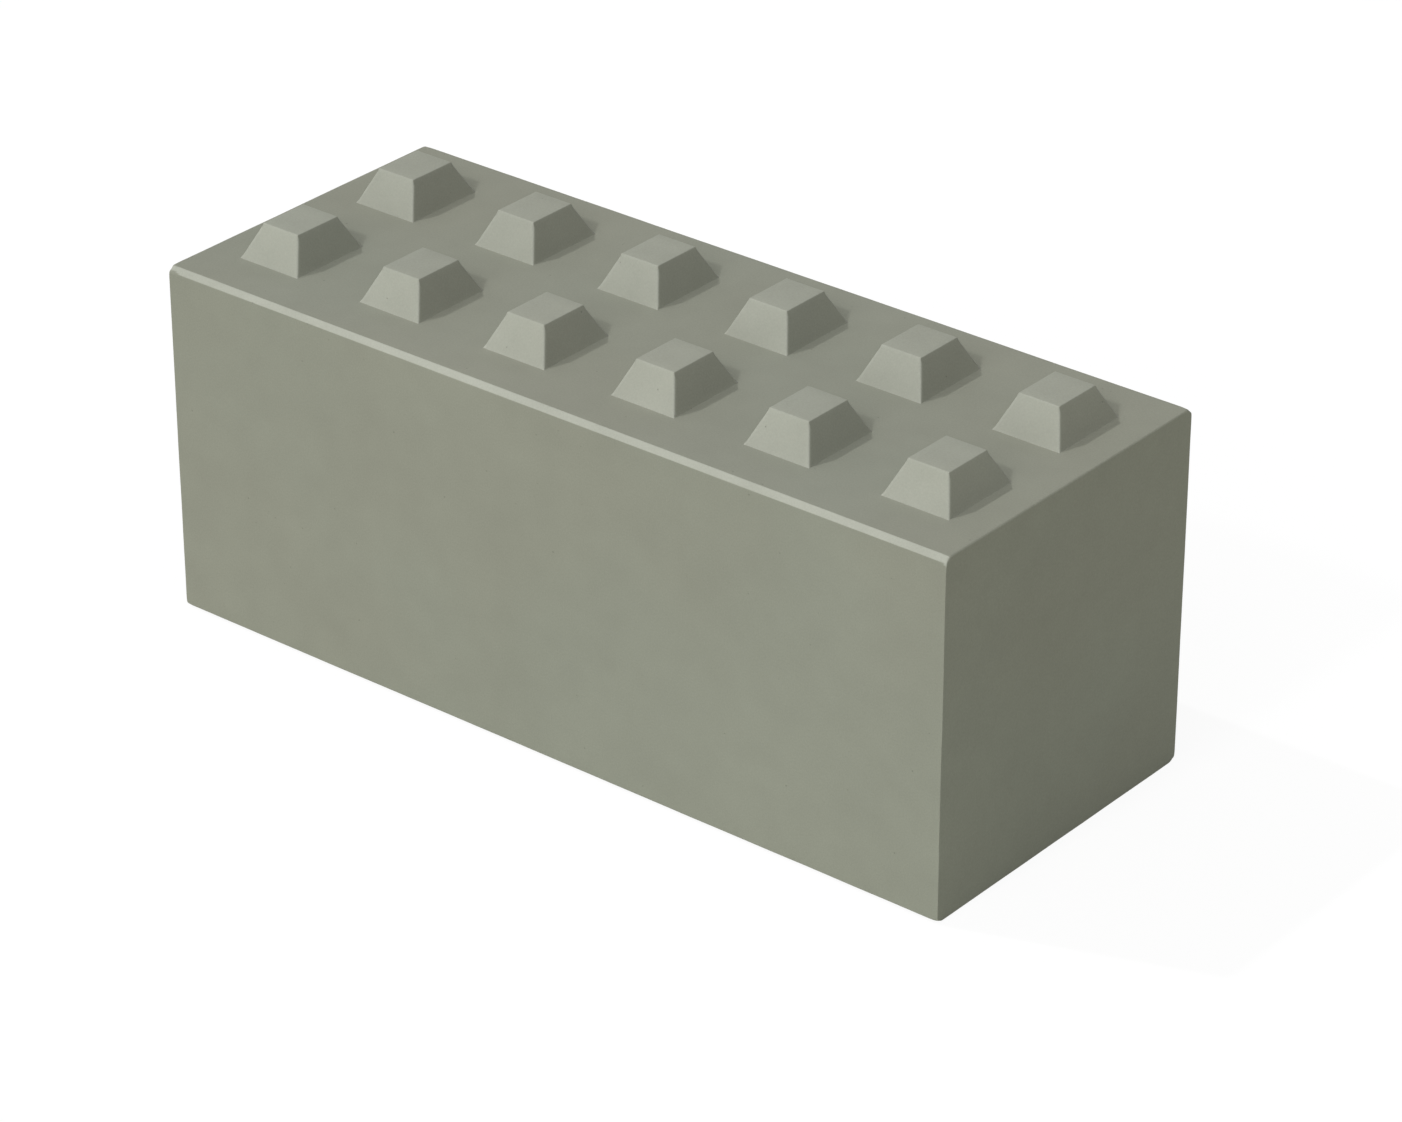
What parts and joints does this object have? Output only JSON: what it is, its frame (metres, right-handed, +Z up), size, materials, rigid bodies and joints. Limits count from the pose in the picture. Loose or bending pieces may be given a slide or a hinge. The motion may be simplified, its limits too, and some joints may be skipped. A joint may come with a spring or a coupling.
{
  "type": "stackable concrete block",
  "caption": "Long concrete block with bevelled long edges, tapered studs on its top and sockets for them underneath, so that blocks lock together when stacked.",
  "frame": {"origin": "centre of the underside, on the ground plane", "axes": "+X along the block, +Y across it towards its back, +Z up; the picture is taken from -Y and +X"},
  "size_m": [1.5, 0.6, 0.656],
  "materials": {
    "concrete": "smooth mould-cast grey-green concrete, matt"
  },
  "bodies": {
    "root": {"concrete_block": "concrete"}
  },
  "joints": []
}
